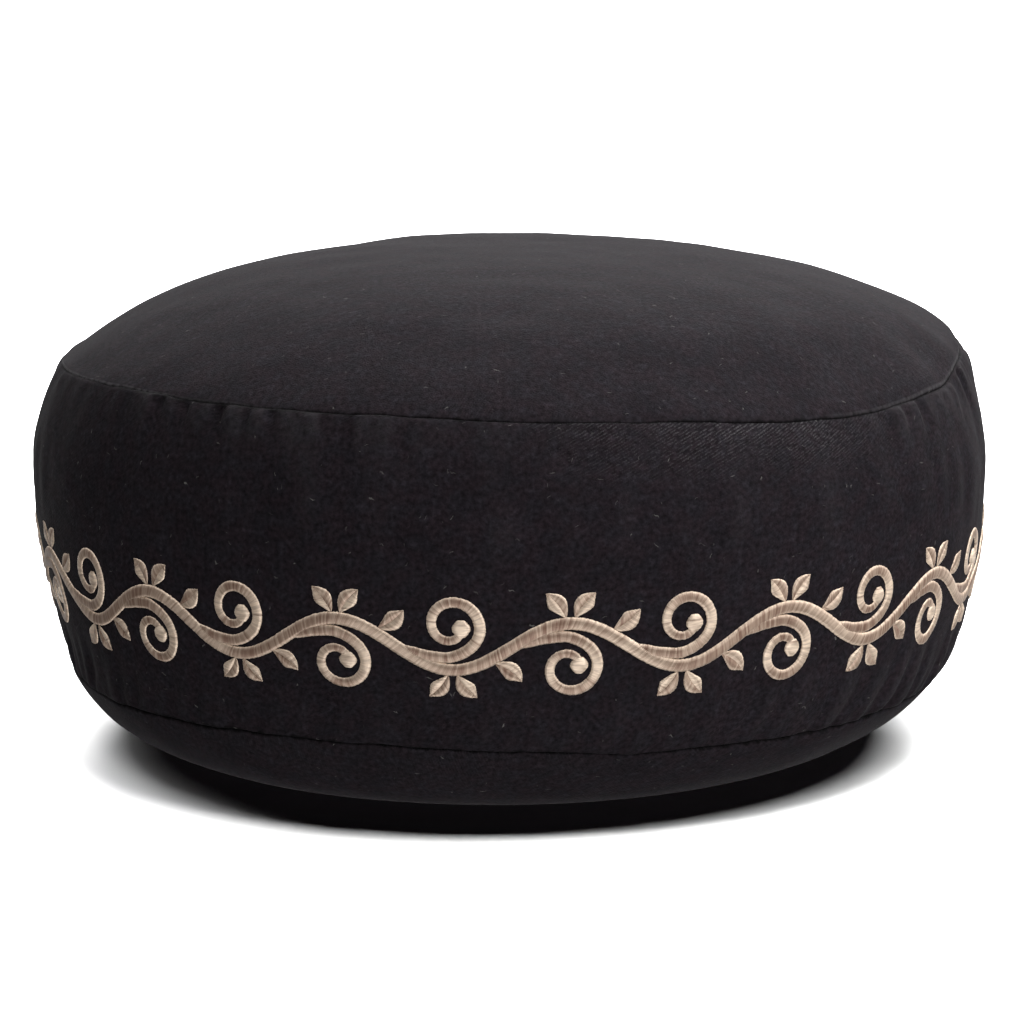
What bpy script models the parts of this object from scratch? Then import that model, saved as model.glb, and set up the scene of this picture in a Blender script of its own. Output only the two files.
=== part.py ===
"""A zafu, the round cushion that people sit on to meditate, standing on its base.

Its case is two round panels and one long side strip. Each panel is sewn to an edge of the
strip with a plain seam, and the strip's ends are sewn together at the back. The case is
filled hard, so the top crowns, the strip bulges between its seams and drags in small
gathers beside them, and the base turns under to the flat patch that it stands on.

Cushion and filling are one solid. Lengths are metres and +Z is up. The front faces -Y, and
azimuths are degrees from the front towards +X, the right-hand side.
"""

import math
import random

import bmesh
import bpy
import numpy as np

NAME = "cushion"
MM = 0.001

# The overall form
RADIUS = 0.165
HEIGHT = 0.1683
WAIST_HEIGHT = 0.095

# The top panel and its seam
TOP_SEAM_RADIUS = 0.1556
TOP_SEAM_HEIGHT = 0.1334
CROWN_POWER = 3.5

# The base panel, its seam and the flat patch that it stands on
BASE_SEAM_RADIUS = 0.1531
BASE_SEAM_HEIGHT = 0.0269
REST_RADIUS = 0.0935
UNDERCUT_POWER = 2.95

# A seam draws the cloth in to a narrow channel
SEAM_DEPTH = 0.0020
SEAM_HALF_WIDTH = 0.0024
TOP_SEAM_FACING = math.radians(40)
BASE_SEAM_FACING = math.radians(-29)

# Where the turned profile has its points, besides the seams
COLUMNS = 240
CROWN_RADII = (0.0, 0.050, 0.085, 0.110, 0.130, 0.143)
BAND_HEIGHTS = (0.123, 0.111, 0.095, 0.078, 0.060, 0.043)
BASE_RADII = (0.142, 0.125, 0.108)
WELD_DISTANCE = 0.0001

# How far each seam strays from its level, as it was sewn and has settled
TOP_SEAM_RISE = (
    # azimuth_deg, rise_mm
    (-90, 0.0),
    (-50, 1.2),
    (-16, 1.5),
    (15, -0.5),
    (37, -4.2),
    (46, -5.4),
    (66, -3.6),
    (78, 1.0),
    (95, 3.5),
    (130, 1.0),
    (180, -1.0),
    (-140, 0.8),
)
BASE_SEAM_RISE = (
    # azimuth_deg, rise_mm
    (-90, 0.5),
    (-60, -0.4),
    (-20, 2.0),
    (0, 1.2),
    (15, -1.0),
    (50, -1.8),
    (90, 0.8),
    (140, -0.6),
    (-150, 1.0),
)
SEAM_REACH = 0.040

# Where the filling has settled: the crown's right shoulder is full, its left a little slack
SHOULDER_SWELL = (
    # azimuth_deg, rise_mm
    (-100, -1.4),
    (-30, 0.0),
    (30, 0.6),
    (85, 2.8),
    (110, 2.6),
    (150, 0.2),
    (180, 0.0),
)
SHOULDER_RADIUS = 0.137
SHOULDER_SPREAD = 0.046
CROWN_SWELL = (
    # azimuth_deg, rise_mm
    (-125, -2.0),
    (-20, 0.0),
    (90, -0.4),
    (150, -0.6),
    (180, -0.3),
)
CROWN_SWELL_RADIUS = 0.095
CROWN_SWELL_SPREAD = 0.070
BASE_LEAN = -0.0055
LEAN_HEIGHT = 0.040
LUMP_HEIGHT = 0.0007

# How strongly the strip is gathered beside each seam
TOP_GATHER_STRENGTH = (
    # azimuth_deg, share
    (-90, 0.35),
    (-62, 0.8),
    (-35, 1.0),
    (-8, 0.7),
    (6, 0.25),
    (38, 0.25),
    (52, 0.9),
    (74, 1.0),
    (100, 0.7),
    (180, 0.8),
)
BASE_GATHER_STRENGTH = (
    # azimuth_deg, share
    (-80, 0.8),
    (-56, 0.6),
    (-36, 0.25),
    (20, 0.2),
    (34, 0.7),
    (48, 1.0),
    (84, 1.0),
    (120, 0.6),
    (180, 0.7),
)
GATHER_STEPS_DEG = (3.4, 5.6)
GATHER_DEPTH_SHARES = (0.6, 1.2)
GATHER_HALF_WIDTH = 0.0027
TOP_GATHER_DEPTH = 0.0012
TOP_GATHER_LENGTH = 0.012
BASE_GATHER_DEPTH = 0.0018
BASE_GATHER_LENGTH = 0.022
BASE_GATHER_SLANT = 0.35

# The deeper troughs under the top seam
DEEP_TROUGHS = (
    # azimuth_deg, depth_mm, length_mm
    (-36.0, 1.6, 12),
    (-28.5, 1.2, 10),
    (-22.5, 1.2, 10),
    (54.0, 1.2, 10),
    (60.0, 1.4, 12),
    (78.0, 1.8, 16),
)

# The strip's ends meet in one upright seam at the back
CLOSING_SEAM_AZIMUTH = 180.0
CLOSING_SEAM_DEPTH = 0.0010


def clear_scene():
    for obj in list(bpy.data.objects):
        bpy.data.objects.remove(obj, do_unlink=True)


def around(table, azimuth):
    """A table's value at each azimuth, eased from row to row all the way round."""
    rows = sorted((row[0] % 360, row[1]) for row in table)
    stops = np.array([rows[-1][0] - 360] + [row[0] for row in rows] + [rows[0][0] + 360])
    values = np.array([rows[-1][1]] + [row[1] for row in rows] + [rows[0][1]])
    turned = np.mod(azimuth, 360)
    after = np.clip(np.searchsorted(stops, turned, side="right"), 1, len(stops) - 1)
    share = (turned - stops[after - 1]) / (stops[after] - stops[after - 1])
    eased = share * share * (3 - 2 * share)
    return values[after - 1] + eased * (values[after] - values[after - 1])


def fade(distance, reach):
    """1 at no distance, easing to 0 at the reach and beyond."""
    share = np.clip(1 - np.abs(distance) / reach, 0, 1)
    return share * share * (3 - 2 * share)


def turn_between(azimuth, other):
    """The signed turn in degrees from one azimuth to another, the short way round."""
    return np.mod(azimuth - other + 180, 360) - 180


# The turned profile

def crown_height(radius):
    fullness = 1 - (radius / TOP_SEAM_RADIUS) ** CROWN_POWER
    return TOP_SEAM_HEIGHT + (HEIGHT - TOP_SEAM_HEIGHT) * fullness


def band_radius(height):
    above = height > WAIST_HEIGHT
    seam_radius = TOP_SEAM_RADIUS if above else BASE_SEAM_RADIUS
    seam_height = TOP_SEAM_HEIGHT if above else BASE_SEAM_HEIGHT
    share = (height - WAIST_HEIGHT) / (seam_height - WAIST_HEIGHT)
    return seam_radius + (RADIUS - seam_radius) * (1 - share * share)


def base_height(radius):
    share = (radius - REST_RADIUS) / (BASE_SEAM_RADIUS - REST_RADIUS)
    return BASE_SEAM_HEIGHT * max(share, 0.0) ** UNDERCUT_POWER


def channel_bottom(radius, height, facing):
    """The deepest point of a seam, drawn in from its place against the way it faces."""
    return (radius - SEAM_DEPTH * math.cos(facing), height - SEAM_DEPTH * math.sin(facing))


def cushion_profile():
    """Points (radius, height) from the top of the crown to the middle of the base."""
    crown_radii = CROWN_RADII + (TOP_SEAM_RADIUS - SEAM_HALF_WIDTH,)
    band_heights = (
        (TOP_SEAM_HEIGHT - SEAM_HALF_WIDTH,) + BAND_HEIGHTS + (BASE_SEAM_HEIGHT + SEAM_HALF_WIDTH,)
    )
    base_radii = (BASE_SEAM_RADIUS - SEAM_HALF_WIDTH,) + BASE_RADII + (REST_RADIUS, 0.0)
    return (
        [(radius, crown_height(radius)) for radius in crown_radii]
        + [channel_bottom(TOP_SEAM_RADIUS, TOP_SEAM_HEIGHT, TOP_SEAM_FACING)]
        + [(band_radius(height), height) for height in band_heights]
        + [channel_bottom(BASE_SEAM_RADIUS, BASE_SEAM_HEIGHT, BASE_SEAM_FACING)]
        + [(radius, base_height(radius)) for radius in base_radii]
    )


def turned_mesh(profile):
    """The profile turned about Z, as one closed mesh."""
    outline = bpy.data.meshes.new("profile")
    points = [(radius, 0.0, height) for radius, height in profile]
    outline.from_pydata(points, [(i, i + 1) for i in range(len(points) - 1)], [])
    guide = bpy.data.objects.new("profile", outline)
    bpy.context.scene.collection.objects.link(guide)

    screw = guide.modifiers.new("Turn", "SCREW")
    screw.axis = "Z"
    screw.steps = COLUMNS
    screw.render_steps = COLUMNS
    screw.use_merge_vertices = True
    screw.merge_threshold = WELD_DISTANCE

    bpy.context.view_layer.update()
    evaluated = guide.evaluated_get(bpy.context.evaluated_depsgraph_get())
    mesh = bpy.data.meshes.new_from_object(evaluated)
    bpy.data.objects.remove(guide, do_unlink=True)
    bpy.data.meshes.remove(outline)
    return mesh


# What sewing and filling do to the turned form, as moves of its points

def seam_strays(azimuth, radius, height):
    """The rise that each seam gives to the cloth near it."""
    from_top = np.hypot(radius - TOP_SEAM_RADIUS, height - TOP_SEAM_HEIGHT)
    from_base = np.hypot(radius - BASE_SEAM_RADIUS, height - BASE_SEAM_HEIGHT)
    top = around(TOP_SEAM_RISE, azimuth) * MM * fade(from_top, SEAM_REACH)
    base = around(BASE_SEAM_RISE, azimuth) * MM * fade(from_base, SEAM_REACH)
    return top + base


def crown_swell(azimuth, radius, height):
    """The rise of the crown where the filling is fuller or slacker."""
    on_crown = np.clip((height - TOP_SEAM_HEIGHT) / SEAM_HALF_WIDTH, 0, 1)
    shoulder = fade(radius - SHOULDER_RADIUS, SHOULDER_SPREAD)
    middle = fade(radius - CROWN_SWELL_RADIUS, CROWN_SWELL_SPREAD)
    rise = around(SHOULDER_SWELL, azimuth) * shoulder + around(CROWN_SWELL, azimuth) * middle
    return rise * MM * on_crown


def lumps(azimuth, height):
    """Low, slow unevenness of the strip, outwards."""
    turn = np.radians(azimuth)
    waves = np.sin(3 * turn + 0.7) + 0.7 * np.sin(5 * turn + 2.1) + 0.5 * np.sin(8 * turn + 4.0)
    return LUMP_HEIGHT * waves * fade(height - WAIST_HEIGHT, TOP_SEAM_HEIGHT - WAIST_HEIGHT)


def gathers(strength_table, depth, seed):
    """Troughs (azimuth, depth) at uneven steps right round a seam."""
    draws = random.Random(seed)
    narrowest, widest = GATHER_STEPS_DEG
    troughs = []
    place = draws.uniform(0, narrowest)
    while place < 360 - narrowest / 2:
        share = float(around(strength_table, place))
        troughs.append((place, depth * share * draws.uniform(*GATHER_DEPTH_SHARES)))
        place += draws.uniform(narrowest, widest)
    return troughs


def trough(azimuth, radius, from_seam, place, depth, length, slant=0.0):
    """How far one trough, which starts at a seam, draws the strip in."""
    turn = turn_between(azimuth, place)
    across = np.radians(turn) * radius + slant * from_seam
    return depth * np.exp(-((across / GATHER_HALF_WIDTH) ** 2)) * fade(from_seam, length)


def drawn_in(azimuth, radius, height):
    """How far the gathers and the closing seam draw the strip in."""
    below_top = TOP_SEAM_HEIGHT - height
    above_base = height - BASE_SEAM_HEIGHT
    depth = np.zeros_like(azimuth)
    for place, deep in gathers(TOP_GATHER_STRENGTH, TOP_GATHER_DEPTH, seed=11):
        depth += trough(azimuth, radius, below_top, place, deep, TOP_GATHER_LENGTH)
    for place, deep in gathers(BASE_GATHER_STRENGTH, BASE_GATHER_DEPTH, seed=29):
        length = BASE_GATHER_LENGTH
        depth += trough(azimuth, radius, above_base, place, deep, length, BASE_GATHER_SLANT)
    for place, deep_mm, length_mm in DEEP_TROUGHS:
        depth += trough(azimuth, radius, below_top, place, deep_mm * MM, length_mm * MM)
    across = np.radians(turn_between(azimuth, CLOSING_SEAM_AZIMUTH)) * radius
    depth += CLOSING_SEAM_DEPTH * np.exp(-((across / GATHER_HALF_WIDTH) ** 2))
    beyond_channels = (below_top > SEAM_DEPTH) & (above_base > SEAM_DEPTH)
    return np.where(beyond_channels, depth, 0.0)


def settle(mesh):
    """Move the turned form's points to the sewn and filled shape, centred on its box."""
    points = np.empty(len(mesh.vertices) * 3)
    mesh.vertices.foreach_get("co", points)
    points = points.reshape(-1, 3)
    radius = np.hypot(points[:, 0], points[:, 1])
    height = points[:, 2].copy()
    azimuth = np.degrees(np.arctan2(points[:, 0], -points[:, 1]))

    points[:, 2] += seam_strays(azimuth, radius, height) + crown_swell(azimuth, radius, height)

    new_radius = radius + lumps(azimuth, height) - drawn_in(azimuth, radius, height)
    turn = np.radians(azimuth)
    points[:, 0] = new_radius * np.sin(turn) + BASE_LEAN * fade(height, LEAN_HEIGHT)
    points[:, 1] = -new_radius * np.cos(turn)

    centre = (points[:, :2].min(axis=0) + points[:, :2].max(axis=0)) / 2
    points[:, :2] -= centre
    mesh.vertices.foreach_set("co", points.ravel())
    mesh.update()


def triangulate(mesh):
    """Split the bent four-sided faces, so that each face is flat."""
    work = bmesh.new()
    work.from_mesh(mesh)
    bmesh.ops.triangulate(work, faces=work.faces[:])
    work.to_mesh(mesh)
    work.free()


def black_twill():
    """Black cotton twill, matt with a soft bloom."""
    material = bpy.data.materials.new("black_twill")
    material.use_nodes = True
    shader = material.node_tree.nodes["Principled BSDF"]
    shader.inputs["Base Color"].default_value = (0.013, 0.012, 0.014, 1.0)
    shader.inputs["Roughness"].default_value = 0.92
    shader.inputs["Metallic"].default_value = 0.0
    return material


def build_cushion(collection):
    mesh = turned_mesh(cushion_profile())
    mesh.name = NAME
    settle(mesh)
    triangulate(mesh)
    mesh.shade_smooth()
    mesh.materials.clear()
    mesh.materials.append(black_twill())
    cushion = bpy.data.objects.new(NAME, mesh)
    collection.objects.link(cushion)
    return cushion


def main():
    clear_scene()
    collection = bpy.data.collections.new("zafu_cushion")
    bpy.context.scene.collection.children.link(collection)
    build_cushion(collection)


main()
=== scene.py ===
"""How the zafu looks: its three cloth panels, their seams and gathers, and its embroidery.

Lengths are metres and +Z is up. Azimuths are degrees from the front (-Y) towards +X. The
cloth's own coordinates are u, along the side strip from the closing seam at the back, and
v, up the strip from the base seam.
"""

import math

import bpy
import numpy as np
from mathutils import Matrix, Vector


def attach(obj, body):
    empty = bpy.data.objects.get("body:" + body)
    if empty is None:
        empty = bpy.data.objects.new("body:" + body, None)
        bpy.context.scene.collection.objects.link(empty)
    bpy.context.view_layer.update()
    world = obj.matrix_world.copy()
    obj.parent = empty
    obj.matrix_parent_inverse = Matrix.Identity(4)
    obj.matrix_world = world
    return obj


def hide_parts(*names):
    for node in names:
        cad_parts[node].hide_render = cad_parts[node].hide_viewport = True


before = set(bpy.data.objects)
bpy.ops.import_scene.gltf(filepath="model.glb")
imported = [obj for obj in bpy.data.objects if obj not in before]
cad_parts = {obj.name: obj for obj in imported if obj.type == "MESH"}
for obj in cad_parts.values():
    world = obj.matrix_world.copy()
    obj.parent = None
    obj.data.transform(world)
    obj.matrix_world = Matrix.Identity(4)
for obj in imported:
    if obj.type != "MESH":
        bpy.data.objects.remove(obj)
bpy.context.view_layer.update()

MM = 0.001
BODY = "root"

# The form, with the CAD part's own sizes
RADIUS = 0.165
GIRTH = 2 * math.pi * RADIUS
HEIGHT = 0.1683
WAIST_HEIGHT = 0.095
TOP_SEAM_RADIUS = 0.1556
TOP_SEAM_HEIGHT = 0.1334
CROWN_POWER = 3.5
BASE_SEAM_RADIUS = 0.1531
BASE_SEAM_HEIGHT = 0.0269
REST_RADIUS = 0.0935
UNDERCUT_POWER = 2.95
SEAM_REACH = 0.040
SHOULDER_RADIUS = 0.137
SHOULDER_SPREAD = 0.046
CROWN_SWELL_RADIUS = 0.095
CROWN_SWELL_SPREAD = 0.070
STRIP_WIDTH = 0.1093
BASE_LEAN = -0.0055
LEAN_HEIGHT = 0.040
CROWN_START = 0.0024
LUMP_HEIGHT = 0.0007
LUMPS = (
    # how many go round, share, phase
    (3, 1.0, 0.7), (5, 0.7, 2.1), (8, 0.5, 4.0),
)

# How the form rises or falls round the cushion, as azimuth_deg and rise_mm
TOP_SEAM_RISE = (
    (-90, -1.8), (-50, 1.2), (-16, 1.5), (15, -0.5), (37, -4.2), (46, -5.4), (66, -3.6),
    (78, 1.0), (95, 3.5), (130, 1.0), (180, -1.0), (-140, 0.8),
)
BASE_SEAM_RISE = (
    (-90, 0.5), (-60, -0.4), (-20, 2.0), (0, 1.2), (15, -1.0), (50, -1.8), (90, 0.8),
    (140, -0.6), (-150, 1.0),
)
SHOULDER_SWELL = (
    (-100, -1.4), (-30, 0.0), (30, 0.6), (85, 2.8), (110, 2.6), (150, 0.2), (180, 0.0),
)
CROWN_SWELL = (
    (-125, -2.0), (-20, 0.0), (90, -0.4), (150, -0.6), (180, -0.3),
)

# The fineness of the meshes. Beside a seam, rows of points stand at these distances from it.
COLUMNS = 960
OUTLINE_POINTS = 600
STRIP_SPACING = 0.0014
PANEL_SPACING = 0.0022
EDGE_STEPS = (0.0, 0.00012, 0.0003, 0.0006, 0.0010, 0.0015, 0.0020, 0.0027, 0.0036)
LATTICE = 64

# A seam: the cloth's edges roll in to it, and it wanders a little. A noise is cell and seed.
ROLL = 0.0013
SEAM_DEPTH = 0.0036
# SEAM_SHADE_WIDTH: how far from a seam the painted shade in its groove reaches
SEAM_SHADE_WIDTH = 0.0010
PULL_DEPTH = 0.0006
PULL_REACH = 0.0040
PUCKER_DEPTH = 0.0009
PUCKER_REACH = 0.0050
PUCKER_NOISE = (0.0042, 11)
WANDER_HEIGHT = 0.00035
WANDER_REACH = 0.006
WANDER_NOISE = (0.011, 8)

# The seam at the back, where the strip's two ends meet
CLOSING_DEPTH = 0.0012
CLOSING_WIDTH = 0.0012
CLOSING_PULL_DEPTH = 0.0005
CLOSING_PULL_REACH = 0.006

# The cloth's slight unevenness, in layers of height, cell and seed
STRIP_UNEVENNESS = ((0.00035, 0.019, 5), (0.00008, 0.008, 6))
PANEL_UNEVENNESS = ((0.0006, 0.034, 15), (0.00018, 0.013, 16))
FLAT_BASE_HEIGHT = 0.012

# The painted highlight on the top panel's rolled edge, round the seam and by distance from it
EDGE_HIGHLIGHT = (
    # azimuth_deg, share
    (-90, 0.95), (-58, 0.80), (-36, 0.30), (-20, 0.05), (36, 0.05), (48, 0.30),
    (60, 0.55), (80, 0.50), (135, 0.15), (-135, 0.15),
)

# How fast the painted shade along a seam fades with distance, round the cushion: slowly where its
# dark line is wider
SEAM_SHADE_FALLOFF = (
    # azimuth_deg, factor
    (-90, 1.5), (-62, 1.1), (-48, 0.62), (-26, 0.62), (-8, 1.0), (44, 1.0), (56, 1.6),
    (90, 1.5), (140, 1.0), (-140, 1.0),
)
# Where across the top panel's rolled edge the painted highlight lies, by distance from the seam
EDGE_HIGHLIGHT_BAND = (
    # from_seam_mm, share
    (0.1, 0.0), (0.45, 1.0), (0.9, 1.0), (1.4, 0.0),
)

# How pale the strip's folds are painted on their crests: partly worn, partly painted highlight
CREST_WEAR_AND_HIGHLIGHT = 0.13
CREST_HEIGHT = 0.0009

# A deep gather, with the banks of cloth that it crowds up beside it
TROUGH_HALF_WIDTH = 0.0018
TROUGH_FLARE = 0.6
BANK_SPREAD = 2.3
BANK_SHARE = 0.45

# The small puffs between the gathers under the top seam
PUFF_HEIGHT = 0.0013
PUFF_REACH = 0.0040
PUFF_NOISE = (0.0060, 13)
PUFF_BIAS = 0.3

# The photograph's camera
CAMERA_DISTANCE = 1.2664
CAMERA_HEIGHT = 0.3184
CAMERA_ASIDE = 0.0009
CAMERA_TILT = 0.1893
SENSOR_WIDTH = 36.0
LENS = 129.5

# The light. The paper's own lights burn it out to white beyond the cushion's shadow.
PAPER_LIGHTS = (
    # azimuth_deg, elevation_deg, width_deg, strength
    (90, 60, 28, 8.3), (90, 75, 22, 7.2), (45, 80, 20, 14.3), (-140, 60, 40, 9.0),
    (180, 35, 40, 25.2), (-132, 36, 30, 1.3),
)
PIECE_LIGHTS = (
    (0, 90, 110, 3.7), (50, 10, 50, 1.3), (90, 35, 50, 2.4), (164, 35, 40, 1.5),
    (180, 0, 80, 1.4), (0, -58, 60, 2.0),
)
FLOOR_HALF = 6.0
PAPER_COLOUR = (0.35, 0.35, 0.35, 1.0)


# Small tools

def eased(share):
    """A share from 0 to 1, eased at both ends."""
    return share * share * (3 - 2 * share)


def around(table, azimuth):
    """A table's value at each azimuth, eased from row to row all the way round."""
    rows = sorted((row[0] % 360, row[1]) for row in table)
    before = (rows[-1][0] - 360, rows[-1][1])
    beyond = (rows[0][0] + 360, rows[0][1])
    stops, values = np.array([before, *rows, beyond]).T
    place = np.mod(azimuth, 360)
    after = np.clip(np.searchsorted(stops, place, side="right"), 1, len(stops) - 1)
    share = (place - stops[after - 1]) / (stops[after] - stops[after - 1])
    return values[after - 1] + eased(share) * (values[after] - values[after - 1])


def fade(distance, reach):
    """1 at no distance, easing to 0 at the reach and beyond."""
    return eased(np.clip(1 - np.abs(distance) / reach, 0, 1))


def bell(distance, spread):
    """1 at no distance, falling away as a bell curve does."""
    return np.exp(-((distance / spread) ** 2))


def turn_between(azimuth, other):
    """The signed turn in degrees from one azimuth to another, the short way round."""
    return np.mod(azimuth - other + 180, 360) - 180


def azimuths(columns):
    """The azimuth of each column of a grid that runs round, from the back."""
    return np.linspace(-180, 180, columns, endpoint=False)


def soft_noise(x, y, cell, seed):
    """Smooth noise from -1 to 1 over a plane, with features of about one cell."""
    lattice = np.random.default_rng(seed).uniform(-1, 1, (LATTICE, LATTICE))
    gx, gy = x / cell, y / cell
    x0, y0 = np.floor(gx).astype(int), np.floor(gy).astype(int)
    fx, fy = eased(gx - x0), eased(gy - y0)
    near = ((0, 0), (1, 0), (0, 1), (1, 1))
    corner = [lattice[(x0 + i) % LATTICE, (y0 + j) % LATTICE] for i, j in near]
    low = corner[0] + fx * (corner[1] - corner[0])
    high = corner[2] + fx * (corner[3] - corner[2])
    return low + fy * (high - low)


def layered_noise(x, y, layers):
    """Soft noises added up, from layers of height, cell and seed."""
    return sum(height * soft_noise(x, y, cell, seed) for height, cell, seed in layers)


def noise_round(azimuth, cell, seed):
    """Soft noise that changes only round the cushion."""
    turn = np.radians(azimuth) * RADIUS
    return soft_noise(turn, 0 * turn, cell, seed)


def reached(points):
    """How far along a polyline each of its points lies."""
    steps = np.hypot(*np.diff(points, axis=0).T)
    return np.concatenate([[0.0], np.cumsum(steps)])


def along(points, distances):
    """Points at given distances along a polyline, which they may overrun at neither end."""
    places = reached(points)
    return np.stack([np.interp(distances, places, points[:, k]) for k in (0, 1)], axis=1)


def smooth_curve(places, values, at):
    """A smooth curve through values at uneven places. The values may be rows of a grid."""
    slopes = np.gradient(values, places, axis=0)
    after = np.clip(np.searchsorted(places, at), 1, len(places) - 1)
    span = places[after] - places[after - 1]
    t = (at - places[after - 1]) / span
    if values.ndim == 2:
        span, t = span[:, None], t[:, None]
    return (
        (1 + 2 * t) * (1 - t) ** 2 * values[after - 1]
        + t * (1 - t) ** 2 * span * slopes[after - 1]
        + t * t * (3 - 2 * t) * values[after]
        + t * t * (t - 1) * span * slopes[after]
    )


# The turned form and how it has settled

def crown_height(radius):
    fall = (radius / TOP_SEAM_RADIUS) ** CROWN_POWER
    return TOP_SEAM_HEIGHT + (HEIGHT - TOP_SEAM_HEIGHT) * (1 - fall)


def band_radius(height):
    above = height > WAIST_HEIGHT
    seam_radius = np.where(above, TOP_SEAM_RADIUS, BASE_SEAM_RADIUS)
    seam_height = np.where(above, TOP_SEAM_HEIGHT, BASE_SEAM_HEIGHT)
    share = (height - WAIST_HEIGHT) / (seam_height - WAIST_HEIGHT)
    return seam_radius + (RADIUS - seam_radius) * (1 - share * share)


def base_height(radius):
    share = (radius - REST_RADIUS) / (BASE_SEAM_RADIUS - REST_RADIUS)
    return BASE_SEAM_HEIGHT * np.clip(share, 0, None) ** UNDERCUT_POWER


def settled(azimuth, radius, height):
    """Places in space of points of the turned form, after sewing and filling."""
    from_top = np.hypot(radius - TOP_SEAM_RADIUS, height - TOP_SEAM_HEIGHT)
    from_base = np.hypot(radius - BASE_SEAM_RADIUS, height - BASE_SEAM_HEIGHT)
    rise = around(TOP_SEAM_RISE, azimuth) * fade(from_top, SEAM_REACH)
    rise = rise + around(BASE_SEAM_RISE, azimuth) * fade(from_base, SEAM_REACH)
    on_crown = np.clip((height - TOP_SEAM_HEIGHT) / CROWN_START, 0, 1)
    shoulder = around(SHOULDER_SWELL, azimuth) * fade(radius - SHOULDER_RADIUS, SHOULDER_SPREAD)
    middle = around(CROWN_SWELL, azimuth) * fade(radius - CROWN_SWELL_RADIUS, CROWN_SWELL_SPREAD)
    rise = (rise + (shoulder + middle) * on_crown) * MM

    turn = np.radians(azimuth)
    waves = sum(share * np.sin(count * turn + phase) for count, share, phase in LUMPS)
    lumps = LUMP_HEIGHT * waves * fade(height - WAIST_HEIGHT, TOP_SEAM_HEIGHT - WAIST_HEIGHT)
    x = (radius + lumps) * np.sin(turn) + BASE_LEAN * fade(height, LEAN_HEIGHT)
    y = -(radius + lumps) * np.cos(turn)
    return np.stack([x, y, height + rise], axis=-1)


def turned_grid(outline, rows, columns):
    """Azimuth, radius and height of a grid, its rows at these distances along an outline."""
    profile = along(outline, rows)
    azimuth, radius = np.meshgrid(azimuths(columns), profile[:, 0])
    height = np.repeat(profile[:, 1][:, None], columns, axis=1)
    return azimuth, radius, height


def grid_normals(points):
    """Outward normals of a closed round grid of points, rows by columns."""
    across = np.roll(points, -1, axis=1) - np.roll(points, 1, axis=1)
    up = np.gradient(points, axis=0)
    normals = np.cross(across, up)
    return normals / np.linalg.norm(normals, axis=2, keepdims=True)


def edge_rows(length, spacing):
    """Distances from 0 to length, close together beside both ends."""
    inner = np.linspace(EDGE_STEPS[-1], length - EDGE_STEPS[-1], int(length / spacing))
    return np.concatenate([EDGE_STEPS, inner[1:-1], length - np.array(EDGE_STEPS[::-1])])


def rolled_in(distance):
    """How deep a piece of cloth lies at a distance from its seam."""
    near = np.clip(distance / ROLL, 0, 1)
    roll = ROLL * (1 - np.sqrt(1 - (1 - near) ** 2))
    flange = (SEAM_DEPTH - ROLL) * np.clip(1 - distance / EDGE_STEPS[1], 0, 1)
    return roll + flange + PULL_DEPTH * np.exp(-distance / PULL_REACH)


def seam_wander(azimuth, from_seam):
    """How far the cloth beside a seam rises or falls where the seam wanders."""
    rise = WANDER_HEIGHT * noise_round(azimuth, *WANDER_NOISE)
    return rise * fade(from_seam, WANDER_REACH)


# Meshes

def grid_faces(rows, columns):
    """The faces of a grid of points whose rows run round."""
    row, column = np.meshgrid(np.arange(rows - 1), np.arange(columns), indexing="ij")
    here = row * columns + column
    beyond = row * columns + (column + 1) % columns
    return np.stack([here, beyond, beyond + columns, here + columns], axis=-1).reshape(-1, 4)


def grid_corners(uv):
    """The uv of each corner of a round grid's faces. uv has one more column than the grid."""
    corners = [uv[:-1, :-1], uv[:-1, 1:], uv[1:, 1:], uv[1:, :-1]]
    return np.stack(corners, axis=2).reshape(-1, 2)


def hub_fan(rows, columns, uv, hub_row):
    """The faces that close a panel's innermost row round its middle, and their corners' uv."""
    first = (rows + hub_row) % rows * columns
    middle = rows * columns
    faces, corners = [], []
    for i in range(columns):
        pair = [i + 1, i] if hub_row == 0 else [i, i + 1]
        faces.append([middle] + [first + k % columns for k in pair])
        corners.append(np.stack([np.zeros(2)] + [uv[hub_row, k] for k in pair]))
    return faces, np.concatenate(corners)


def smooth_mesh(name, vertices, faces, uv_name, corners, values):
    """A smooth mesh with a uv map, given corner by corner, and named values at its points."""
    mesh = bpy.data.meshes.new(name)
    mesh.from_pydata(vertices, [], faces)
    uv_map = mesh.uv_layers.new(name=uv_name)
    uv_map.data.foreach_set("uv", corners.astype(np.float32).ravel())
    for attribute, numbers in values.items():
        layer = mesh.attributes.new(attribute, "FLOAT", "POINT")
        layer.data.foreach_set("value", numbers.astype(np.float32))
    mesh.shade_smooth()
    mesh.update()
    return mesh


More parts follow.
